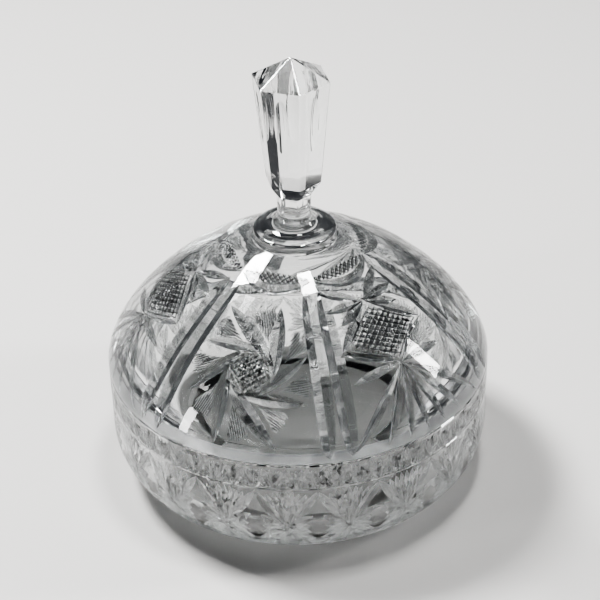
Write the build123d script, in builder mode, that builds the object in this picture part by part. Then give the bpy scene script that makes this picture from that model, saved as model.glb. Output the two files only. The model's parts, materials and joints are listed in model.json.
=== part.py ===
"""Cut-crystal powder jar: a heavy round bowl, a domed lid that lifts off it, and a six-sided finial on the lid.

Units are millimetres and +Z is up. The origin is the centre of the bowl's foot, on the table.
"""
import os
from math import atan2, cos, degrees, radians, sin, tan

from build123d import *

# ---- Driving dimensions -------------------------------------------------------------------------
JAR_RADIUS = 75.0  # outside of the rim, the same on the bowl and the lid
BOWL_HEIGHT = 50.0  # table to the ground seat that the lid rests on
LID_HEIGHT = 53.0  # ground seat to the flat that carries the finial
FINIAL_HEIGHT = 74.0  # flat on the lid to the point of the finial

SEAT_WIDTH = 8.0  # width of the bowl's ground rim
RIM_BEVEL = 0.6  # small polished bevel on each ground edge
LOCATING_DEPTH = 4.5  # how far the lid's locating ring reaches into the bowl
LOCATING_CLEARANCE = 0.8  # radial gap between that ring and the bowl's mouth
LOCATING_WALL = 3.0

# ---- Bowl ---------------------------------------------------------------------------------------
FOOT_RADIUS = 52.0
FOOT_RING_WIDTH = 5.0
FOOT_RECESS = 0.8  # the middle of the base stands this far off the table
SHOULDER_RADIUS = JAR_RADIUS - FOOT_RADIUS  # the round corner between the foot and the wall
FLOOR_THICKNESS = 9.0
CAVITY_CORNER = 14.0
CAVITY_TAPER = 2.5  # how much narrower the cavity is at its corner than at the mouth
MOUTH_RADIUS = JAR_RADIUS - SEAT_WIDTH

# ---- Lid ----------------------------------------------------------------------------------------
LID_BAND = 1.8  # plain upright band above the ground seat
DOME_FULLNESS = 1.44  # exponent of the superellipse: 1 is a cone, 2 an ellipse
DOME_STEPS = 10
CAVITY_FULLNESS = 1.8
LID_CROWN = 6.5  # glass between the finial's flat and the top of the lid's cavity
FINIAL_SEAT_RADIUS = 16.5
LOCATING_RADIUS = MOUTH_RADIUS - LOCATING_CLEARANCE

# Pairs of long V cuts, side by side, part the dome into six panels.
PANELS = 6
PANEL_TURN = 41.4  # degrees from the front of the jar to the middle of the first panel
COLUMN_SPACING = 8.7  # centre to centre of a pair, where they are furthest from the axis
COLUMN_TOP_RADIUS = 29.0  # where each cut runs out, beside the finial
COLUMN_SAG = 3.0  # bow of the cut's floor between its two ends
COLUMN_TIP = 0.4  # how far the cut's floor stands clear of the glass at its two ends
COLUMN_HALF_ANGLE = 62.0  # half the angle of the V
COLUMN_CUTTER_DEPTH = 5.0

# ---- Finial -------------------------------------------------------------------------------------
SIDES = 6
COLLAR_RADIUS = 16.0
COLLAR_HEIGHT = 4.2
COLLAR_ROUND = 1.2
NECK_RADIUS = 6.8
NECK_HEIGHT = 14.0  # from the lid's flat to the narrowest part of the neck
STEM_LENGTH = 4.0
BODY_BASE = 24.2  # from the lid's flat to the lower edge of the six faces
BODY_TOP = 65.6  # from the lid's flat to the shoulder under the point
BODY_BASE_RADIUS = 10.9  # to the corners
BODY_TOP_RADIUS = 15.0  # to the corners
FINIAL_TURN = PANEL_TURN - 180 / PANELS  # the finial's corners stand over the pairs of V cuts
OLIVE_WHEEL_RADIUS = 62.0  # round-edged wheel that hollows one oval in each face
OLIVE_EDGE_RADIUS = 3.4
OLIVE_DEPTH = 1.0
OLIVE_CENTRE = 51.3  # from the lid's flat

SEAT_Z = BOWL_HEIGHT
CROWN_Z = SEAT_Z + LID_HEIGHT


def superellipse(radius, height, fullness, inner_radius, steps):
    """Points (r, z) of (r / radius)^n + (z / height)^n = 1, from the rim up to inner_radius."""
    last = (1 - (inner_radius / radius) ** fullness) ** (1 / fullness)
    points = []
    for step in range(steps + 1):
        share = last * sin(radians(90 * step / steps))
        points.append((radius * (1 - share**fullness) ** (1 / fullness), height * share))
    return points


# ---- Bowl: one pressed and cut piece ------------------------------------------------------------
with BuildPart() as bowl:
    with BuildSketch(Plane.XZ):
        with BuildLine():
            outside = Polyline(
                (0, FOOT_RECESS),
                (FOOT_RADIUS - FOOT_RING_WIDTH - FOOT_RECESS, FOOT_RECESS),
                (FOOT_RADIUS - FOOT_RING_WIDTH, 0),
                (FOOT_RADIUS, 0),
            )
            shoulder = CenterArc((FOOT_RADIUS, SHOULDER_RADIUS), SHOULDER_RADIUS, -90, 90)
            wall = Polyline(
                shoulder @ 1,
                (JAR_RADIUS, SEAT_Z - RIM_BEVEL),
                (JAR_RADIUS - RIM_BEVEL, SEAT_Z),
                (MOUTH_RADIUS + RIM_BEVEL, SEAT_Z),
                (MOUTH_RADIUS, SEAT_Z - RIM_BEVEL),
                (MOUTH_RADIUS - CAVITY_TAPER, FLOOR_THICKNESS + CAVITY_CORNER),
            )
            corner = CenterArc(
                (MOUTH_RADIUS - CAVITY_TAPER - CAVITY_CORNER, FLOOR_THICKNESS + CAVITY_CORNER),
                CAVITY_CORNER,
                0,
                -90,
            )
            Polyline(corner @ 1, (0, FLOOR_THICKNESS), (0, FOOT_RECESS))
        make_face()
    revolve(axis=Axis.Z)

# ---- Lid: a dome with a locating ring underneath ------------------------------------------------
dome_height = (LID_HEIGHT - LID_BAND) / (
    1 - (FINIAL_SEAT_RADIUS / JAR_RADIUS) ** DOME_FULLNESS
) ** (1 / DOME_FULLNESS)
cavity_radius = LOCATING_RADIUS - LOCATING_WALL
cavity_height = LID_HEIGHT - LID_CROWN

outer_outline = [
    (r, SEAT_Z + LID_BAND + z)
    for r, z in superellipse(
        JAR_RADIUS, dome_height, DOME_FULLNESS, FINIAL_SEAT_RADIUS, DOME_STEPS
    )
]
inner_outline = [
    (r, SEAT_Z + z)
    for r, z in superellipse(cavity_radius, cavity_height, CAVITY_FULLNESS, 0, DOME_STEPS)
]

with BuildPart() as lid_dome:
    with BuildSketch(Plane.XZ):
        with BuildLine():
            cavity = Spline(inner_outline, tangents=[(0, 1), (-1, 0)])
            Polyline(
                cavity @ 0,
                (cavity_radius, SEAT_Z - LOCATING_DEPTH),
                (LOCATING_RADIUS - RIM_BEVEL, SEAT_Z - LOCATING_DEPTH),
                (LOCATING_RADIUS, SEAT_Z - LOCATING_DEPTH + RIM_BEVEL),
                (LOCATING_RADIUS, SEAT_Z),
                (JAR_RADIUS - RIM_BEVEL, SEAT_Z),
                (JAR_RADIUS, SEAT_Z + RIM_BEVEL),
                (JAR_RADIUS, SEAT_Z + LID_BAND),
            )
            dome_line = Spline(outer_outline, tangents=[(0, 1), (-1, 0.5)])
            Polyline(dome_line @ 1, (0, CROWN_Z), cavity @ 1)
        make_face()
    revolve(axis=Axis.Z)

    # One cut is a V swept along an arc in the plane of the axis; it is set out for one side of a
    # pair, then repeated around the dome.
    top_height = LID_BAND + dome_height * (
        1 - (COLUMN_TOP_RADIUS / JAR_RADIUS) ** DOME_FULLNESS
    ) ** (1 / DOME_FULLNESS)
    column_top = Vector(COLUMN_TOP_RADIUS, 0, SEAT_Z + top_height + COLUMN_TIP)
    column_foot = Vector(JAR_RADIUS + COLUMN_TIP, 0, SEAT_Z + LID_BAND)
    fall = (column_foot - column_top).normalized()
    outwards = Vector(-fall.Z, 0, fall.X)
    half_width = COLUMN_CUTTER_DEPTH * tan(radians(COLUMN_HALF_ANGLE))
    with BuildPart(mode=Mode.PRIVATE) as column:
        with BuildLine() as floor_line:
            middle = (column_top + column_foot) * 0.5 + outwards * COLUMN_SAG
            ThreePointArc(column_top, middle, column_foot)
        start = Plane(origin=column_top, x_dir=(0, 1, 0), z_dir=floor_line.line % 0)
        with BuildSketch(start):
            opening = COLUMN_CUTTER_DEPTH * start.y_dir.dot(outwards)
            with BuildLine():
                Polyline((0, 0), (half_width, opening), (-half_width, opening), close=True)
            make_face()
        sweep()
    pair_turn = degrees(COLUMN_SPACING / 2 / JAR_RADIUS)
    first_pair = PANEL_TURN + 180 / PANELS - 90
    for side in (-pair_turn, pair_turn):
        with PolarLocations(0, PANELS, start_angle=first_pair + side):
            add(column.part, mode=Mode.SUBTRACT)

# ---- Finial: a solid six-sided prism on a round collar ------------------------------------------
with BuildPart() as finial:
    with BuildSketch(Plane.XZ):
        with BuildLine():
            collar = Polyline(
                (0, CROWN_Z),
                (COLLAR_RADIUS, CROWN_Z),
                (COLLAR_RADIUS, CROWN_Z + COLLAR_HEIGHT - COLLAR_ROUND),
            )
            collar_edge = CenterArc(
                (COLLAR_RADIUS - COLLAR_ROUND, CROWN_Z + COLLAR_HEIGHT - COLLAR_ROUND),
                COLLAR_ROUND,
                0,
                90,
            )
            flare = Spline(
                [collar_edge @ 1, (NECK_RADIUS, CROWN_Z + NECK_HEIGHT)],
                tangents=[(-1, 0.08), (0, 1)],
            )
            Polyline(flare @ 1, (0, CROWN_Z + NECK_HEIGHT), (0, CROWN_Z))
        make_face()
    revolve(axis=Axis.Z)

    # The stem and the body are lofts between hexagons; the point is cut by six planes.
    corner_turn = FINIAL_TURN - 90
    with BuildSketch(Plane.XY.offset(CROWN_Z + NECK_HEIGHT)):
        RegularPolygon(NECK_RADIUS, SIDES, rotation=corner_turn)
    with BuildSketch(Plane.XY.offset(CROWN_Z + NECK_HEIGHT + STEM_LENGTH)):
        RegularPolygon(NECK_RADIUS, SIDES, rotation=corner_turn)
    loft(ruled=True)
    with BuildSketch(Plane.XY.offset(CROWN_Z + NECK_HEIGHT + STEM_LENGTH)):
        RegularPolygon(NECK_RADIUS, SIDES, rotation=corner_turn)
    with BuildSketch(Plane.XY.offset(CROWN_Z + BODY_BASE)):
        RegularPolygon(BODY_BASE_RADIUS, SIDES, rotation=corner_turn)
    loft(ruled=True)
    body_growth = (BODY_TOP_RADIUS - BODY_BASE_RADIUS) / (BODY_TOP - BODY_BASE)
    blank_radius = BODY_TOP_RADIUS + body_growth * (FINIAL_HEIGHT - BODY_TOP)
    with BuildSketch(Plane.XY.offset(CROWN_Z + BODY_BASE)):
        RegularPolygon(BODY_BASE_RADIUS, SIDES, rotation=corner_turn)
    with BuildSketch(Plane.XY.offset(CROWN_Z + FINIAL_HEIGHT)):
        RegularPolygon(blank_radius, SIDES, rotation=corner_turn)
    loft(ruled=True)

    apothem = BODY_TOP_RADIUS * cos(radians(180 / SIDES))
    point_rise = FINIAL_HEIGHT - BODY_TOP
    for side in range(SIDES):
        face_turn = radians(corner_turn + (side + 0.5) * 360 / SIDES)
        outwards = Vector(cos(face_turn) * point_rise, sin(face_turn) * point_rise, apothem)
        split(bisect_by=Plane(origin=(0, 0, CROWN_Z + FINIAL_HEIGHT), z_dir=outwards), keep=Keep.BOTTOM)

    # A round-edged wheel hollows an upright oval in each of the six faces.
    face_lean = degrees(atan2(body_growth * cos(radians(180 / SIDES)), 1))
    olive_apothem = (
        BODY_BASE_RADIUS + body_growth * (OLIVE_CENTRE - BODY_BASE)
    ) * cos(radians(180 / SIDES))
    for side in range(SIDES):
        face_turn = corner_turn + (side + 0.5) * 360 / SIDES
        out = Vector(1, 0, 0).rotate(Axis.Y, face_lean).rotate(Axis.Z, face_turn)
        touch = Vector(olive_apothem, 0, CROWN_Z + OLIVE_CENTRE).rotate(Axis.Z, face_turn)
        axle = Vector(0, 1, 0).rotate(Axis.Z, face_turn)
        hub = touch + out * (OLIVE_WHEEL_RADIUS - OLIVE_DEPTH)
        with Locations(Plane(origin=hub, z_dir=axle)):
            Torus(OLIVE_WHEEL_RADIUS - OLIVE_EDGE_RADIUS, OLIVE_EDGE_RADIUS, mode=Mode.SUBTRACT)

# ---- Export -------------------------------------------------------------------------------------
bowl.part.label = "bowl"
lid_dome.part.label = "lid_dome"
finial.part.label = "finial"

os.makedirs("parts", exist_ok=True)
export_step(bowl.part, "parts/bowl.step")
export_step(lid_dome.part, "parts/lid_dome.step")
export_step(finial.part, "parts/finial.step")
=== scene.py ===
"""Looks of a covered powder jar in cut lead crystal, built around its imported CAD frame. Metres, +Z up."""
import json

import bpy
import numpy as np
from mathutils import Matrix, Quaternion, Vector

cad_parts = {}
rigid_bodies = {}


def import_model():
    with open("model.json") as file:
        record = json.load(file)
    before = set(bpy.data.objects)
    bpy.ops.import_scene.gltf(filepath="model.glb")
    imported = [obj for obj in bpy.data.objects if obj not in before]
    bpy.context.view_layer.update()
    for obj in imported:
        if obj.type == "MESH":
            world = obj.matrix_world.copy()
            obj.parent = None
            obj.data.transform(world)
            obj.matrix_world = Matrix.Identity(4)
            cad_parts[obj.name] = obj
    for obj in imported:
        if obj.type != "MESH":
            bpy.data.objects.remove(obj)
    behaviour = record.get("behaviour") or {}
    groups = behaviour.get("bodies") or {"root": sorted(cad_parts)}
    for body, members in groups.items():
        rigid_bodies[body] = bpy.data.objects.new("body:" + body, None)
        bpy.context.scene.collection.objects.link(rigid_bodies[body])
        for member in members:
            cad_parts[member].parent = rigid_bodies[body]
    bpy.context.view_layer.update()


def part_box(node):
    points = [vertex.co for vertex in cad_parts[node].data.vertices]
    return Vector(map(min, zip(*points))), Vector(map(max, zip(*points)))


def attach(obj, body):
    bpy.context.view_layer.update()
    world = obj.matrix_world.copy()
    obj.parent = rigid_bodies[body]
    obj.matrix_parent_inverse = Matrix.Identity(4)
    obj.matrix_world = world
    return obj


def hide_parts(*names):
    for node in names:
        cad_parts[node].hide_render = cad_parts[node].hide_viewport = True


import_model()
scene = bpy.context.scene

# ---- Camera --------------------------------------------------------------------------------------
# A long lens looks down on the jar from just above the height of a seated eye, tilted a little.
seat_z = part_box("bowl")[1][2]
VIEW_ELEVATION = np.radians(33.4)
VIEW_DISTANCE = 0.691
VIEW_ROLL = np.radians(-1.5)
LENS = 106.2
aim = Vector((0.0013, 0, seat_z + 0.0228))
towards_eye = Vector((0, -np.cos(VIEW_ELEVATION), np.sin(VIEW_ELEVATION)))
camera = bpy.data.objects.new("camera", bpy.data.cameras.new("camera"))
camera.data.lens = LENS
camera.location = aim + towards_eye * VIEW_DISTANCE
camera.rotation_mode = "QUATERNION"
camera.rotation_quaternion = towards_eye.to_track_quat("Z", "Y") @ Quaternion((0, 0, 1), VIEW_ROLL)
scene.collection.objects.link(camera)
scene.camera = camera

# ---- Table and light -----------------------------------------------------------------------------
# A pale, matt table top under four soft lamps. The room is kept dim so that the crystal has dark and
# bright things to bend.
FLOOR_REACH = 1.6
TABLE_COLOUR = (0.62, 0.61, 0.595, 1)
TABLE_ROUGHNESS = 0.55
ROOM_COLOUR = (0.80, 0.87, 1.0, 1)
ROOM_STRENGTH = 0.04
WALLS_CROSSED = 28  # light crosses many walls of crystal before it leaves the jar
MIRRORINGS = 12
corners = np.array([(-1, -1, 0), (1, -1, 0), (1, 1, 0), (-1, 1, 0)]) * FLOOR_REACH
floor_mesh = bpy.data.meshes.new("table_top")
floor_mesh.from_pydata(corners.tolist(), [], [(0, 1, 2, 3)])
floor = bpy.data.objects.new("table_top", floor_mesh)
scene.collection.objects.link(floor)

pale = bpy.data.materials.new("pale_table")
pale.use_nodes = True
pale_shader = pale.node_tree.nodes["Principled BSDF"]
pale_shader.inputs["Base Color"].default_value = TABLE_COLOUR
pale_shader.inputs["Roughness"].default_value = TABLE_ROUGHNESS
floor_mesh.materials.append(pale)

world = bpy.data.worlds.new("dim_room")
world.use_nodes = True
world.node_tree.nodes["Background"].inputs["Color"].default_value = ROOM_COLOUR
world.node_tree.nodes["Background"].inputs["Strength"].default_value = ROOM_STRENGTH
scene.world = world
scene.view_settings.look = "AgX - High Contrast"

for name, place, size, watts in (
    ("key_lamp", (-0.55, 0.40, 1.10), (0.30, 0.30), 23.0),
    ("top_lamp", (0.15, 0.05, 1.30), (0.20, 0.20), 8.0),
    ("low_lamp", (-0.95, -0.45, 0.28), (0.10, 0.40), 2.5),
    ("side_lamp", (0.90, 0.05, 0.50), (0.12, 0.30), 4.0),
):
    lamp = bpy.data.objects.new(name, bpy.data.lights.new(name, "AREA"))
    lamp.data.shape = "RECTANGLE"
    lamp.data.size, lamp.data.size_y = size
    lamp.data.energy = watts
    lamp.location = place
    lamp.rotation_mode = "QUATERNION"
    lamp.rotation_quaternion = (Vector(place) - aim).to_track_quat("Z", "Y")
    scene.collection.objects.link(lamp)

scene.cycles.max_bounces = WALLS_CROSSED
scene.cycles.transmission_bounces = WALLS_CROSSED
scene.cycles.glossy_bounces = MIRRORINGS

# ---- Crystal -------------------------------------------------------------------------------------
# Clear lead crystal, polished after cutting. Both pieces of the jar are made of it. The polish leaves
# the surface faintly wavy, the seat between the two pieces is left ground, and the foot is scuffed.
CRYSTAL_IOR = 1.545
CRYSTAL_TINT = (0.955, 0.963, 0.963, 1)
MM = 0.001
WAVINESS = 0.03 * MM  # height of the slow ripples that hand polishing leaves
POLISHED = 0.006  # roughness of the cuts and walls at most
GROUND = 0.40  # roughness of the seat and the foot
RIPPLES_PER_METRE = 160
SMEARS_PER_METRE = 45
SCUFFS_PER_METRE = 900
SCUFF_FLOOR = 0.5  # share of the ground roughness that is there between the scuffs
SEAT_REACH = 0.12 * MM  # how far from the seat's plane the glass still counts as ground
FOOT_REACH = 0.35 * MM


def math_node(tree, operation, *values):
    """A Math node whose inputs are numbers or the outputs of other nodes."""
    node = tree.nodes.new("ShaderNodeMath")
    node.operation = operation
    for socket, value in zip(node.inputs, values):
        if isinstance(value, bpy.types.NodeSocket):
            tree.links.new(value, socket)
        else:
            socket.default_value = value
    return node.outputs[0]


def noise_node(tree, place, scale, detail):
    """A Noise Texture on the given coordinates; its factor runs from 0 to 1."""
    node = tree.nodes.new("ShaderNodeTexNoise")
    node.inputs["Scale"].default_value = scale
    node.inputs["Detail"].default_value = detail
    tree.links.new(place, node.inputs["Vector"])
    return node.outputs["Fac"]


hand_polish = bpy.data.node_groups.new("hand_polish", "ShaderNodeTree")
for label in ("Waviness", "Polished", "Ground", "Seat Height"):
    hand_polish.interface.new_socket(label, in_out="INPUT", socket_type="NodeSocketFloat")
hand_polish.interface.new_socket("Roughness", in_out="OUTPUT", socket_type="NodeSocketFloat")
hand_polish.interface.new_socket("Normal", in_out="OUTPUT", socket_type="NodeSocketVector")
given = hand_polish.nodes.new("NodeGroupInput")
result = hand_polish.nodes.new("NodeGroupOutput")
place = hand_polish.nodes.new("ShaderNodeTexCoord").outputs["Object"]
split = hand_polish.nodes.new("ShaderNodeSeparateXYZ")
hand_polish.links.new(place, split.inputs[0])
level = split.outputs["Z"]
seat_mask = math_node(hand_polish, "COMPARE", level, given.outputs["Seat Height"], SEAT_REACH)
foot_mask = math_node(hand_polish, "LESS_THAN", level, FOOT_REACH)
scuffs = noise_node(hand_polish, place, SCUFFS_PER_METRE, 3)
matt = math_node(hand_polish, "MULTIPLY", math_node(hand_polish, "MAXIMUM", seat_mask, foot_mask),
                 math_node(hand_polish, "ADD", scuffs, SCUFF_FLOOR))
smears = noise_node(hand_polish, place, SMEARS_PER_METRE, 4)
clear = math_node(hand_polish, "MULTIPLY", smears, given.outputs["Polished"])
rough = math_node(hand_polish, "MULTIPLY_ADD", matt, given.outputs["Ground"], clear)
hand_polish.links.new(rough, result.inputs["Roughness"])
ripples = hand_polish.nodes.new("ShaderNodeBump")
ripples.inputs["Strength"].default_value = 1.0
hand_polish.links.new(noise_node(hand_polish, place, RIPPLES_PER_METRE, 1), ripples.inputs["Height"])
hand_polish.links.new(given.outputs["Waviness"], ripples.inputs["Distance"])
hand_polish.links.new(ripples.outputs["Normal"], result.inputs["Normal"])

crystal = bpy.data.materials.new("lead_crystal")
crystal.use_nodes = True
crystal_shader = crystal.node_tree.nodes["Principled BSDF"]
crystal_shader.inputs["Base Color"].default_value = CRYSTAL_TINT
crystal_shader.inputs["IOR"].default_value = CRYSTAL_IOR
crystal_shader.inputs["Transmission Weight"].default_value = 1.0
polish = crystal.node_tree.nodes.new("ShaderNodeGroup")
polish.node_tree = hand_polish
polish.inputs["Waviness"].default_value = WAVINESS
polish.inputs["Polished"].default_value = POLISHED
polish.inputs["Ground"].default_value = GROUND
polish.inputs["Seat Height"].default_value = seat_z
crystal.node_tree.links.new(polish.outputs["Roughness"], crystal_shader.inputs["Roughness"])
crystal.node_tree.links.new(polish.outputs["Normal"], crystal_shader.inputs["Normal"])

# ---- Lid: the moulded blank ----------------------------------------------------------------------
# The lid starts as a thick plain dome with a flat ground seat, a locating ring that drops into the
# bowl, and the round collar of its finial. Outlines (r, z) are walked from axis to axis.
jar_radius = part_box("bowl")[1][0]
crown_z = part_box("finial")[0][2]
tip_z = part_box("finial")[1][2]
ring_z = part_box("lid_dome")[0][2]
AIR_FILM = 0.05 * MM  # half the film of air between the two ground seats
RIM_BEVEL = 0.6 * MM
LID_BAND = 1.8 * MM
DOME_FULLNESS = 1.44
FINIAL_SEAT = 16.5 * MM
RING_RADIUS = 66.2 * MM
RING_WALL = 3.0 * MM
LID_CROWN = 6.5 * MM
CAVITY_FULLNESS = 1.8
COLLAR_RADIUS = 16.0 * MM
COLLAR_HEIGHT = 4.2 * MM
COLLAR_ROUND = 1.2 * MM
NECK_CORE = 6.2 * MM
NECK_HEIGHT = 14.0 * MM
NECK_ROOT = 2 * MM  # how far the neck runs on inside the finial's shank
NECK_TAPER = 0.8
FLARE_HOLLOW, FLARE_RISE = 2.6, 1.5  # powers of the curve from the collar up to the neck
TURN_STEPS = 216
DOME_STEPS, CAVITY_STEPS, COLLAR_STEPS, FLARE_STEPS = 45, 25, 6, 16


def superellipse(radius, height, fullness, inner, count):
    """Points of (r / radius)^n + (z / height)^n = 1 from the rim up to the radius inner."""
    last = np.arccos((inner / radius) ** (fullness / 2))
    angle = np.linspace(0, last, count)
    return np.stack([radius * np.cos(angle) ** (2 / fullness),
                     height * np.sin(angle) ** (2 / fullness)], -1)


def skin(name, rings, foot, top):
    """A closed surface through rings (R, N, 3) that run anticlockwise, each joined to the next one up,
    with a fan of triangles from the points foot and top to the first and last ring."""
    count, around_ring = rings.shape[:2]
    here = np.arange(around_ring)
    after = (here + 1) % around_ring
    row = np.arange(count - 1)[:, None] * around_ring
    quads = np.stack([row + here, row + after, row + around_ring + after, row + around_ring + here], -1)
    last = (count - 1) * around_ring
    fans = np.stack([0 * here + count * around_ring, after, here], -1), np.stack(
        [last + here, last + after, 0 * here + count * around_ring + 1], -1)
    mesh = bpy.data.meshes.new(name)
    mesh.from_pydata(np.vstack([rings.reshape(-1, 3), foot, top]).tolist(), [],
                     quads.reshape(-1, 4).tolist() + np.vstack(fans).tolist())
    return mesh


def revolve(name, outline):
    """The outline (r, z), from axis to axis, turned about Z in even steps."""
    outline = np.asarray(outline, float)
    angle = np.arange(TURN_STEPS) * 2 * np.pi / TURN_STEPS
    r, z = outline[1:-1, 0, None], outline[1:-1, 1, None]
    rings = np.stack([r * np.cos(angle), r * np.sin(angle), z + 0 * angle], -1)
    return skin(name, rings, (0, 0, outline[0, 1]), (0, 0, outline[-1, 1]))


dome_height = (crown_z - seat_z - LID_BAND) / (
    1 - (FINIAL_SEAT / jar_radius) ** DOME_FULLNESS) ** (1 / DOME_FULLNESS)
dome_line = superellipse(jar_radius, dome_height, DOME_FULLNESS, FINIAL_SEAT, DOME_STEPS)
dome_line = dome_line + (0, seat_z + LID_BAND)
cavity_line = superellipse(RING_RADIUS - RING_WALL, crown_z - seat_z - LID_CROWN, CAVITY_FULLNESS, 0,
                           CAVITY_STEPS)
cavity_line = cavity_line[::-1] + (0, seat_z)
ring_line = [
    (RING_RADIUS - RING_WALL, ring_z), (RING_RADIUS - RIM_BEVEL, ring_z),
    (RING_RADIUS, ring_z + RIM_BEVEL), (RING_RADIUS, seat_z + AIR_FILM),
    (jar_radius - RIM_BEVEL, seat_z + AIR_FILM), (jar_radius, seat_z + RIM_BEVEL),
]
corner = np.linspace(0, np.pi / 2, COLLAR_STEPS)
collar_edge = np.stack([COLLAR_RADIUS - COLLAR_ROUND * (1 - np.cos(corner)),
                        crown_z + COLLAR_HEIGHT - COLLAR_ROUND * (1 - np.sin(corner))], -1)
rise = np.linspace(0, 1, FLARE_STEPS)[1:]
flare_line = np.stack([
    NECK_CORE + (COLLAR_RADIUS - COLLAR_ROUND - NECK_CORE) * (1 - rise) ** FLARE_HOLLOW,
    crown_z + COLLAR_HEIGHT + (NECK_HEIGHT - COLLAR_HEIGHT) * rise ** FLARE_RISE], -1)
lid_outline = np.vstack([
    cavity_line, ring_line, dome_line, [(COLLAR_RADIUS, crown_z)], collar_edge, flare_line,
    [(NECK_TAPER * NECK_CORE, crown_z + NECK_HEIGHT + NECK_ROOT), (0, crown_z + NECK_HEIGHT + NECK_ROOT)]])
lid_blank = revolve("lid_blank", lid_outline)

# ---- Lid: finial ---------------------------------------------------------------------------------
# The finial is solid. Six flats widen from a narrow neck to a shoulder, six more close to a point, and
# the edges between them keep a narrow polished bevel.
FINIAL_TURN = 12.0  # degrees from the front to one corner
FINIAL_BEVEL = 0.32 * MM
WIDEST_BEVEL = 0.4  # share of a flat that a bevel takes at the very point
shank_line = np.array([
    (6.8, 11.0), (6.8, 17.6), (6.95, 18.3), (10.6, 23.7), (10.95, 24.5), (14.98, 65.2), (14.85, 65.75),
    (0.35, 73.8)]) * MM
corner_angle = np.radians(FINIAL_TURN - 90 + 60 * np.arange(6))
hexagon = np.stack([np.cos(corner_angle), np.sin(corner_angle)], -1)
corner_r = shank_line[:, 0, None, None, None]
trim = np.minimum(FINIAL_BEVEL / corner_r, WIDEST_BEVEL)
trim = trim[..., 0]
shank_ring = corner_r * np.stack([hexagon * (1 - trim) + np.roll(hexagon, 1, axis=0) * trim,
                                  hexagon * (1 - trim) + np.roll(hexagon, -1, axis=0) * trim], 2)
shank_ring = shank_ring.reshape(len(shank_line), -1, 2)
shank_z = np.broadcast_to(crown_z + shank_line[:, 1, None, None], (*shank_ring.shape[:2], 1))
shank = skin("shank", np.concatenate([shank_ring, shank_z], -1),
             (0, 0, crown_z + shank_line[0, 1]), (0, 0, tip_z))

# A round-edged wheel hollows an upright oval in each of the six flats.
OVAL_CENTRE = 51.3 * MM
OVAL_DEPTH = 1.0 * MM
OVAL_AXES = np.array([4.0, 4.1, 17.4]) * MM  # square to the flat, across it and up it
OVAL_RINGS, OVAL_SIDES = 42, 36


def turned(points, turn):
    """Points turned about the jar's axis by an angle in degrees."""
    angle = np.radians(turn)
    x, y, z = np.moveaxis(np.asarray(points), -1, 0)
    return np.stack([x * np.cos(angle) - y * np.sin(angle),
                     x * np.sin(angle) + y * np.cos(angle), z + 0 * angle], -1)


body_foot, body_top = shank_line[4:6]
flat_growth = (body_top[0] - body_foot[0]) / (body_top[1] - body_foot[1]) * np.cos(np.pi / 6)
flat_r = body_foot[0] * np.cos(np.pi / 6) + flat_growth * (OVAL_CENTRE - body_foot[1])
lean = np.arctan(flat_growth)
latitude = np.linspace(-np.pi / 2, np.pi / 2, OVAL_RINGS)[:, None]
longitude = np.arange(OVAL_SIDES) * 2 * np.pi / OVAL_SIDES
egg = OVAL_AXES * np.stack([np.cos(latitude) * np.cos(longitude), np.cos(latitude) * np.sin(longitude),
                            np.sin(latitude) + 0 * longitude], -1) + (OVAL_AXES[0] - OVAL_DEPTH, 0, 0)
egg = np.stack([egg[..., 0] * np.cos(lean) + egg[..., 2] * np.sin(lean) + flat_r, egg[..., 1],
                egg[..., 2] * np.cos(lean) - egg[..., 0] * np.sin(lean) + crown_z + OVAL_CENTRE], -1)
ovals = [skin("oval", oval[1:-1], oval[0, 0], oval[-1, 0])
         for oval in (turned(egg, FINIAL_TURN - 60 + 60 * side) for side in range(6))]

# ---- Lid: cutting wheels -------------------------------------------------------------------------
# Every cut is ground by the V edge of a wheel. A cut is a V carried along a path on the wall, deepest
# where the wheel bites most and running out to a point at both ends. Known fault: the bars that stand
# for the wheels are inside out, so the glass over each V is not opened. cutter_mesh says more.
LEAF = np.array([-0.02, 0.42, 0.78, 0.97, 1.0, 0.92, 0.72, 0.40, -0.02])
RAY = np.array([-0.02, 0.30, 0.62, 0.88, 1.0, 0.97, 0.80, 0.48, -0.02])
LINE = np.array([-0.05, 0.8, 1.0, 1.0, 0.8, -0.05])
SHORT = np.array([-0.05, 1.0, 1.0, -0.05])
DART = np.array([-0.02, 0.62, 1.0, 0.78, -0.02])
BLADE = np.sin(np.linspace(0, np.pi, 15)) ** 0.8 - 0.02
LIFT = 0.25 * MM  # how far the cutters stand clear of the glass
FLAT_ENOUGH = 1e-4  # least fall of radius that is treated as a cone
MITRE_HALF_ANGLE = 60
WHEELS_AT_ONCE = 3  # more of them in one boolean are far slower
FACET_ANGLE = np.radians(11)


def wall_table(outline):
    """The outline's distance climbed from its foot, r, z and outward normal, for looking up."""
    climb = np.concatenate([[0], np.cumsum(np.hypot(*np.diff(outline, axis=0).T))])
    slope = np.gradient(outline, climb, axis=0)
    slope /= np.linalg.norm(slope, axis=1, keepdims=True)
    return np.column_stack([climb, outline, slope[:, 1], -slope[:, 0]])


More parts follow.
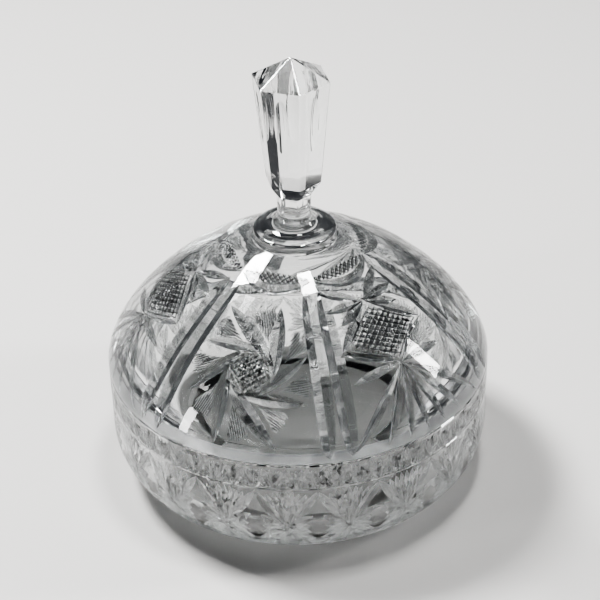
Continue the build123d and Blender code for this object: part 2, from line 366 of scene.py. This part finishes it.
def stand_on(wall, turn, climb, across, up):
    """Points and outward normals on a turned wall, at distances across and up from a place on it.
    Turn is the angle in degrees from the front of the jar, to the right. The wall round that place is
    laid flat as a cone is: its apex lies radius / (fall of radius per climb) above the place, and a
    point's distance and angle from the apex give its climb and its turn."""
    near = np.interp([climb - MM, climb, climb + MM], wall[:, 0], wall[:, 1])
    apex = near[1] / max((near[0] - near[2]) / (2 * MM), FLAT_ENOUGH)
    reach = np.hypot(across, apex - up)
    at = climb + apex - reach
    r, z, out_r, out_z = (np.interp(at, wall[:, 0], column) for column in wall.T[1:])
    angle = np.radians(turn - 90) + np.arctan2(across, apex - up) * reach / r
    return (np.stack([r * np.cos(angle), r * np.sin(angle), z], -1),
            np.stack([out_r * np.cos(angle), out_r * np.sin(angle), out_z], -1))


def climb_to(wall, radius):
    """How far up the wall its radius has shrunk to the one asked for."""
    return np.interp(-radius, -wall[:, 1], wall[:, 0])


def v_cuts(wall, turn, climb, start, end, depth, half_angle, swell=LEAF, bow=0.0):
    """V cuts from start to end (across, up): K cuts of M stations with 3 corners each. A station's
    floor lies depth * swell under the wall and its sides open at half_angle from upright. A bowed cut
    stands bow * 4 s (1 - s) to the left of its straight line at the share s of its length."""
    start, end = np.broadcast_arrays(np.atleast_2d(start), np.atleast_2d(end))
    share = np.linspace(0, 1, len(swell))[:, None]
    way = (end - start) / np.linalg.norm(end - start, axis=1, keepdims=True)
    left = np.stack([-way[:, 1], way[:, 0]], -1)
    path = (start[:, None] * (1 - share) + end[:, None] * share
            + left[:, None] * bow * 4 * share * (1 - share))
    point, outward = stand_on(wall, turn, climb, path[..., 0], path[..., 1])
    ahead = np.gradient(point, axis=1)
    across = np.cross(outward, ahead)
    across /= np.linalg.norm(across, axis=-1, keepdims=True)
    sunk = (np.reshape(depth, (-1, 1)) * swell)[..., None]
    top = point + outward * LIFT
    spread = across * (sunk + LIFT) * np.tan(np.radians(half_angle))
    return np.stack([point - outward * sunk, top - spread, top + spread], 2)


def around(cuts, turns):
    """The same cuts repeated about the jar's axis, turned by each of the angles in degrees."""
    return turned(cuts, np.reshape(turns, (-1, 1, 1, 1))).reshape(-1, *cuts.shape[1:])


def hatch(corners, slant, pitch):
    """Parallel lines at one slant, clipped to a convex patch whose corners run anticlockwise."""
    corners = np.asarray(corners)
    along = np.array([np.cos(np.radians(slant)), np.sin(np.radians(slant))])
    aside = np.array([-along[1], along[0]])
    reach = corners @ aside
    offset = np.arange(reach.min() + pitch / 2, reach.max(), pitch)
    foot = offset[:, None] * aside
    side = np.roll(corners, -1, axis=0) - corners
    inward = np.stack([-side[:, 1], side[:, 0]], -1)
    gap = ((foot[:, None] - corners) * inward).sum(-1)
    rate = inward @ along
    cross = -gap / rate
    enter = np.where(rate > 0, cross, -np.inf).max(1)
    leave = np.where(rate < 0, cross, np.inf).min(1)
    return foot + enter[:, None] * along, foot + leave[:, None] * along


def every_other(start, end):
    """Splits neighbouring lines into two sets, so that no cutters in one set touch."""
    return [(start[0::2], end[0::2]), (start[1::2], end[1::2])]


def cutter_mesh(name, cuts):
    """Closed V bars: the three corners of each station are joined to the next station's. Known fault:
    in this order of corners the faces point inwards and a bar's volume is negative. The difference in
    grind() then keeps the wall over a cut twice and lays the sides of the V inside the glass."""
    count, stations = cuts.shape[:2]
    corner = np.arange(count * stations * 3).reshape(count, stations, 3)
    beside = np.roll(corner, -1, axis=2)
    sides = np.stack([corner[:, :-1], beside[:, :-1], beside[:, 1:], corner[:, 1:]], -1)
    ends = np.concatenate([corner[:, 0, ::-1], corner[:, -1]])
    mesh = bpy.data.meshes.new(name)
    mesh.from_pydata(cuts.reshape(-1, 3).tolist(), [], sides.reshape(-1, 4).tolist() + ends.tolist())
    return mesh


def combine(body, tools, operation):
    """One boolean of a mesh with a list of other meshes, each of them free of overlaps."""
    group = bpy.data.collections.new("tools")
    scene.collection.children.link(group)
    for tool in tools:
        group.objects.link(bpy.data.objects.new(tool.name, tool))
    work = bpy.data.objects.new("work", body)
    scene.collection.objects.link(work)
    step = work.modifiers.new("step", "BOOLEAN")
    step.operation = operation
    step.operand_type = "COLLECTION"
    step.collection = group
    step.solver = "MANIFOLD"
    done = bpy.data.meshes.new_from_object(work.evaluated_get(bpy.context.evaluated_depsgraph_get()))
    for thing in [work, *group.objects]:
        bpy.data.objects.remove(thing)
    bpy.data.collections.remove(group)
    return done


def grind(blank, batches, name, others=()):
    """Takes the cutters away from the blank a few batches at a time and keeps the facets crisp."""
    wheels = [*others, *(cutter_mesh("wheel", cuts) for cuts in batches)]
    for first in range(0, len(wheels), WHEELS_AT_ONCE):
        blank = combine(blank, wheels[first:first + WHEELS_AT_ONCE], "DIFFERENCE")
    blank.name = name
    blank.materials.clear()
    blank.materials.append(crystal)
    blank.polygons.foreach_set("material_index", np.zeros(len(blank.polygons), np.int32))
    blank.shade_smooth()
    blank.set_sharp_from_angle(angle=FACET_ANGLE)
    return blank


THIRDS = np.array([0.0, 120.0, 240.0])
SIXTHS = np.arange(6) * 60.0
PINWHEEL_TURN = -18.0
dome = wall_table(dome_line)
lid_cuts = []

# ---- Lid: paired columns -------------------------------------------------------------------------
# Six pairs of long mitres, side by side with a sharp ridge between, part the dome into six panels.
PAIR_TURN = 11.4
COLUMN_DEPTH = 2.1 * MM
COLUMN_HALF_ANGLE = 61
COLUMN_FOOT = (4.35 * MM, 0.3 * MM)  # from the middle of a pair to one cut's lower end
COLUMN_HEAD_RADIUS = 30.5 * MM
COLUMN_HEAD = 2.6 * MM
COLUMN_STATIONS = 33
COLUMN_THINNING = 0.12  # the cut is this much shallower at its head than at its foot
COLUMN_RUNOUT = 0.03
share = np.linspace(0, 1, COLUMN_STATIONS)
column_swell = np.sqrt(1 - (2 * share - 1) ** 4) * (1 - COLUMN_THINNING * share) - COLUMN_RUNOUT
column_climb = climb_to(dome, COLUMN_HEAD_RADIUS)
for side in (-1, 1):
    column = v_cuts(dome, PAIR_TURN, 0, (side * COLUMN_FOOT[0], COLUMN_FOOT[1]),
                    (side * COLUMN_HEAD, column_climb), COLUMN_DEPTH, COLUMN_HALF_ANGLE, column_swell)
    lid_cuts.append(around(column, SIXTHS))

# ---- Lid: pinwheels ------------------------------------------------------------------------------
# Three panels hold a crosshatched button with eight blades swirling round it. A blade is one long
# leaf that brushes past the button, with a fan of fine straight lines beside it.
PINWHEEL_RADIUS = 57 * MM
BUTTON_RADIUS = 8.1 * MM
BUTTON_TWIST = 34.0  # degrees from level to the first corner of the button
BUTTON_PITCH = 1.65 * MM
BUTTON_DEPTH = 0.34 * MM
BUTTON_LEAN = 5  # degrees from a corner of the button to its hatching
pinwheel_climb = climb_to(dome, PINWHEEL_RADIUS)
button_angles = np.radians(BUTTON_TWIST + 45 * np.arange(8))
button = BUTTON_RADIUS * np.stack([np.cos(button_angles), np.sin(button_angles)], -1)
for slant in (BUTTON_TWIST + BUTTON_LEAN, BUTTON_TWIST + BUTTON_LEAN - 90):
    for start, end in every_other(*hatch(button, slant, BUTTON_PITCH)):
        lid_cuts.append(around(
            v_cuts(dome, PINWHEEL_TURN, pinwheel_climb, start, end, BUTTON_DEPTH,
                   MITRE_HALF_ANGLE, LINE), THIRDS))

BLADE_BEARINGS = np.radians([26.7, 78.4, 119.4, 153.5, 202.0, 251.4, 298.2, 342.3])
BLADE_REACH = np.array([21.6, 27.4, 28.3, 22.8, 24.8, 28.9, 30.3, 24.7]) * MM
BLADE_PASS = 8.3 * MM  # how near a blade's line comes to the middle of the button
BLADE_ROOT = 3.4 * MM  # how far the blade runs on past that point
BLADE_SLENDER = 0.064  # depth of a blade for its length
BLADE_BOW = -0.6 * MM
brush = BLADE_BEARINGS - np.arccos(BLADE_PASS / BLADE_REACH)
blade_tip = np.stack([np.cos(BLADE_BEARINGS), np.sin(BLADE_BEARINGS)], -1) * BLADE_REACH[:, None]
blade_pass = np.stack([np.cos(brush), np.sin(brush)], -1) * BLADE_PASS
blade_length = np.linalg.norm(blade_tip - blade_pass, axis=1, keepdims=True)
blade_root = blade_pass - (blade_tip - blade_pass) / blade_length * BLADE_ROOT
for few in (slice(0, None, 2), slice(1, None, 2)):
    lid_cuts.append(around(
        v_cuts(dome, PINWHEEL_TURN, pinwheel_climb, blade_root[few], blade_tip[few],
               BLADE_SLENDER * blade_length[few, 0], MITRE_HALF_ANGLE, BLADE, BLADE_BOW), THIRDS))

FAN_BEARINGS = np.radians(24 + 45 * np.arange(8))
FAN_START = 12.7 * MM
FAN_SWEEP = np.radians(41)
FAN_LINES = 9
FAN_PITCH = 0.84 * MM
FAN_DEPTH = 0.30 * MM
FAN_LENGTH, FAN_LONGER = 12.2 * MM, 2.6 * MM  # a fan that points level, and what an upright one adds
FAN_SHORT_FOOT, FAN_SHORT_HEAD = 2.4, 0.3  # what an outer line loses, for its distance from the middle
fan_way = np.stack([np.cos(FAN_BEARINGS + FAN_SWEEP), np.sin(FAN_BEARINGS + FAN_SWEEP)], -1)
fan_aside = np.stack([-fan_way[:, 1], fan_way[:, 0]], -1)
fan_apex = FAN_START * np.stack([np.cos(FAN_BEARINGS), np.sin(FAN_BEARINGS)], -1)
fan_length = FAN_LENGTH + FAN_LONGER * fan_way[:, 1] ** 2
for number in range(FAN_LINES):
    offset = (number - (FAN_LINES - 1) / 2) * FAN_PITCH
    start = fan_apex + fan_aside * offset + fan_way * (FAN_SHORT_FOOT * abs(offset))
    end = fan_apex + fan_aside * offset + fan_way * (fan_length - FAN_SHORT_HEAD * abs(offset))[:, None]
    for first, last in every_other(start, end):
        lid_cuts.append(around(
            v_cuts(dome, PINWHEEL_TURN, pinwheel_climb, first, last, FAN_DEPTH,
                   MITRE_HALF_ANGLE, LINE), THIRDS))

# ---- Lid: star panels ----------------------------------------------------------------------------
# The other three panels hold a low star whose long rays run down to the rim, a second star above it,
# and a crosshatched kite between the two.
STAR_TURN = 39.6
STAR_RADIUS = 59.6 * MM
KITE_SIDE = np.array([19.5, 12.2]) * MM
KITE_TOP = 26.8 * MM
KITE_PITCH = 2.0 * MM
KITE_DEPTH = 0.5 * MM
KITE_SLANT = 34
KITE_INSET = 0.90
LOW_TIPS = np.array([(21.8, 0.6), (31.5, -23.0), (18.5, -26.0), (8.8, -27.3)]) * MM
LOW_MIDDLE = np.array([0, -27.5]) * MM
HIGH_TIPS = np.array([(14.7, 10.7), (15.9, 1.6), (13.8, -5.3)]) * MM
LOW_DEPTH = 1.05 * MM
HIGH_DEPTH = 1.15 * MM
star_climb = climb_to(dome, STAR_RADIUS)
flip = np.array([-1, 1])
kite = np.array([(0, 0), KITE_SIDE, (0, KITE_TOP), KITE_SIDE * flip])
kite_middle = np.array([0, KITE_TOP / 2])
hatched_kite = (kite - kite_middle) * KITE_INSET + kite_middle
for slant in (KITE_SLANT, -KITE_SLANT):
    for start, end in every_other(*hatch(hatched_kite, slant, KITE_PITCH)):
        lid_cuts.append(around(
            v_cuts(dome, STAR_TURN, star_climb, start, end, KITE_DEPTH, MITRE_HALF_ANGLE, LINE), THIRDS))
for tip in (LOW_MIDDLE, *LOW_TIPS, *(LOW_TIPS * flip), KITE_SIDE, KITE_SIDE * flip):
    lid_cuts.append(around(
        v_cuts(dome, STAR_TURN, star_climb, (0, 0), tip, LOW_DEPTH, MITRE_HALF_ANGLE, RAY), THIRDS))
top_of_kite = np.array([0, KITE_TOP])
for tip in (*HIGH_TIPS, *(HIGH_TIPS * flip), KITE_SIDE - top_of_kite, KITE_SIDE * flip - top_of_kite):
    lid_cuts.append(around(
        v_cuts(dome, STAR_TURN, star_climb, top_of_kite, top_of_kite + tip, HIGH_DEPTH,
               MITRE_HALF_ANGLE, RAY), THIRDS))

# ---- Lid: half-moons -----------------------------------------------------------------------------
# Above each panel, close under the finial, lies a half-moon of fine crosshatching over a broad curved
# cut, whose tips meet its neighbours' above the paired columns.
MOON_RADIUS = 29.0 * MM
MOON = np.array([(-13.0, 5.8), (-9.0, 3.1), (-4.5, 1.4), (0, 0.9), (4.5, 1.4), (9.0, 3.1),
                 (13.0, 5.8), (12.0, 6.4), (-12.0, 6.4)]) * MM
MOON_PITCH = 1.5 * MM
MOON_DEPTH = 0.36 * MM
MOON_TIP = np.array([13.7, 5.9]) * MM
MOON_BOW = -7.4 * MM
MOON_OUTLINE_DEPTH = 1.3 * MM
MOON_SLANT = 45
moon_climb = climb_to(dome, MOON_RADIUS)
for slant in (MOON_SLANT, -MOON_SLANT):
    for start, end in every_other(*hatch(MOON, slant, MOON_PITCH)):
        lid_cuts.append(around(
            v_cuts(dome, PINWHEEL_TURN, moon_climb, start, end, MOON_DEPTH, MITRE_HALF_ANGLE, LINE),
            SIXTHS))
moon_outline = v_cuts(dome, PINWHEEL_TURN, moon_climb, MOON_TIP * flip, MOON_TIP, MOON_OUTLINE_DEPTH,
                      MITRE_HALF_ANGLE, BLADE, MOON_BOW)
lid_cuts.append(around(moon_outline, THIRDS * 2))
lid_cuts.append(around(moon_outline, THIRDS * 2 + 60))

lid_mesh = grind(combine(lid_blank, [shank], "UNION"), lid_cuts, "lid_crystal", ovals)
lid = bpy.data.objects.new("lid_crystal", lid_mesh)
scene.collection.objects.link(lid)
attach(lid, "lid")
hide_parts("lid_dome", "finial")

# ---- Bowl ----------------------------------------------------------------------------------------
# A heavy pressed bowl with an upright wall, a round corner down to its foot, and a flat ground rim.
FOOT_RADIUS = 52 * MM
FOOT_RING = 5 * MM
FOOT_RECESS = 0.8 * MM
BOWL_FLOOR = 9 * MM
MOUTH_RADIUS = 67 * MM
CAVITY_CORNER = 14 * MM
CAVITY_TAPER = 2.5 * MM
SHOULDER_STEPS, WALL_STEPS, CORNER_STEPS = 27, 11, 16
shoulder = jar_radius - FOOT_RADIUS
swing = np.linspace(-np.pi / 2, 0, SHOULDER_STEPS)
shoulder_line = np.stack([FOOT_RADIUS + shoulder * np.cos(swing),
                          shoulder + shoulder * np.sin(swing)], -1)
upright_z = np.linspace(shoulder, seat_z - RIM_BEVEL, WALL_STEPS + 1)[1:]
wall_line = np.vstack([shoulder_line, np.stack([np.full(WALL_STEPS, jar_radius), upright_z], -1)])
inner_r = MOUTH_RADIUS - CAVITY_TAPER - CAVITY_CORNER
inside = np.linspace(0, -np.pi / 2, CORNER_STEPS)
corner_line = np.stack([inner_r + CAVITY_CORNER * np.cos(inside),
                        BOWL_FLOOR + CAVITY_CORNER * (1 + np.sin(inside))], -1)
BAND_Z = 39.0 * MM
BAND_GROOVE = 0.3 * MM
band_groove = [(jar_radius, BAND_Z - BAND_GROOVE), (jar_radius - BAND_GROOVE, BAND_Z),
               (jar_radius, BAND_Z + BAND_GROOVE)]
under_band = wall_line[:, 1] < BAND_Z - 2 * BAND_GROOVE
over_band = wall_line[:, 1] > BAND_Z + 2 * BAND_GROOVE
bowl_outline = np.vstack([
    [(0, FOOT_RECESS), (FOOT_RADIUS - FOOT_RING - FOOT_RECESS, FOOT_RECESS),
     (FOOT_RADIUS - FOOT_RING, 0)],
    wall_line[under_band], band_groove, wall_line[over_band],
    [(jar_radius - RIM_BEVEL, seat_z - AIR_FILM), (MOUTH_RADIUS + RIM_BEVEL, seat_z - AIR_FILM),
     (MOUTH_RADIUS, seat_z - RIM_BEVEL)],
    corner_line, [(0, BOWL_FLOOR)]])
bowl_blank = revolve("bowl_blank", bowl_outline)
wall = wall_table(wall_line)
bowl_cuts = []

# ---- Bowl: band of points under the rim ----------------------------------------------------------
# Sixty pointed V shapes stand on a thin ring, each with three leaves fanning out of it, and finely
# crosshatched triangles fill the gaps between them.
STARS = 20
STAR_BEARING = 13.6  # degrees from the front to one star's middle
POINTS = 3 * STARS
ARM_DEPTH = 0.8 * MM
ARM_START = 0.3 * MM  # each side of a point's middle, so that the two arms don't start on one spot
ARM_BOW = 0.55 * MM
VEIN_DEPTH = 0.80 * MM
VEIN_LEANS = (-0.42, 0, 0.42)
VEIN_ROOT_SPREAD, VEIN_TIP_SPREAD = 0.3, 1.3  # shares of half a point's width, at full lean
VEIN_START = 1.6 * MM
VEIN_REACH = 0.9  # share of the band's height
TRIANGLE = np.array([(1.2, 0.6), (6.65, 0.6), (3.93, 4.9)]) * MM
TRIANGLE_PITCH = 1.15 * MM
TRIANGLE_DEPTH = 0.26 * MM
TRIANGLE_SLANT = 57
UNEVEN = 0.03  # sets crossing cuts slightly apart, because exact mirror images stall the boolean
point_turns = STAR_BEARING + 360 / POINTS * (np.arange(POINTS) + 0.5)
half_point = np.pi * jar_radius / POINTS
band_climb = np.interp(BAND_Z, wall[:, 2], wall[:, 0])
band_rise = wall[-1, 0] - band_climb
for side in (-1, 1):
    arm = v_cuts(wall, 0, band_climb, (side * ARM_START, 0), (side * half_point, band_rise),
                 ARM_DEPTH * (1 + side * UNEVEN), MITRE_HALF_ANGLE, LEAF, -side * ARM_BOW)
    bowl_cuts.append(around(arm, point_turns))
    for start, end in every_other(*hatch(TRIANGLE, (side + UNEVEN) * TRIANGLE_SLANT, TRIANGLE_PITCH)):
        bowl_cuts.append(around(
            v_cuts(wall, 0, band_climb, start, end, TRIANGLE_DEPTH * (1 + side * UNEVEN),
                   MITRE_HALF_ANGLE, SHORT), point_turns))
for lean in VEIN_LEANS:
    vein = v_cuts(wall, 0, band_climb, (lean * half_point * VEIN_ROOT_SPREAD, VEIN_START),
                  (lean * half_point * VEIN_TIP_SPREAD, band_rise * VEIN_REACH), VEIN_DEPTH,
                  MITRE_HALF_ANGLE, DART)
    bowl_cuts.append(around(vein, point_turns))

# ---- Bowl: hobstars ------------------------------------------------------------------------------
# Twenty many-rayed stars sit on the bowl's round corner. Two long rays of each reach up to the ring,
# and a fan of narrow leaves fills the space between them.
STAR_Z = 20.0 * MM
LONG_RAY = 22.0 * MM
STAR_RAYS = 16
STAR_HOLLOW = 0.4 * MM  # the rays start this far from the star's middle
RAY_LENGTHS = np.array([9.5, 12.0, LONG_RAY / MM, 12.5, 12.5, LONG_RAY / MM, 12.0, 9.5,
                        9.5, 13.0, 16.0, 18.0, 18.0, 16.0, 13.0, 9.5]) * MM
BOWL_RAY_DEPTH = 1.2 * MM
LEAF_BEARINGS = np.radians([66, 74, 82, 90, 98, 106, 114])
LEAF_ROOT, LEAF_TIP = 10.0 * MM, 18.6 * MM
LEAF_DEPTH = 0.7 * MM
star_turns = STAR_BEARING + 360 / STARS * np.arange(STARS)
hobstar_climb = np.interp(STAR_Z, wall[:, 2], wall[:, 0])
ray_bearings = 2 * np.pi / STAR_RAYS * (np.arange(STAR_RAYS) + 0.5)
for bearing, length in zip(ray_bearings, RAY_LENGTHS):
    way = np.array([np.cos(bearing), np.sin(bearing)])
    ray = v_cuts(wall, 0, hobstar_climb, way * STAR_HOLLOW, way * length, BOWL_RAY_DEPTH,
                 MITRE_HALF_ANGLE, RAY)
    bowl_cuts.append(around(ray, star_turns))
leaf_way = np.stack([np.cos(LEAF_BEARINGS), np.sin(LEAF_BEARINGS)], -1)
for way in leaf_way:
    leaf = v_cuts(wall, 0, hobstar_climb, way * LEAF_ROOT, way * LEAF_TIP, LEAF_DEPTH,
                  MITRE_HALF_ANGLE, DART)
    bowl_cuts.append(around(leaf, star_turns))

bowl_mesh = grind(bowl_blank, bowl_cuts, "bowl_crystal")
bowl = bpy.data.objects.new("bowl_crystal", bowl_mesh)
scene.collection.objects.link(bowl)
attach(bowl, "jar")
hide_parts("bowl")
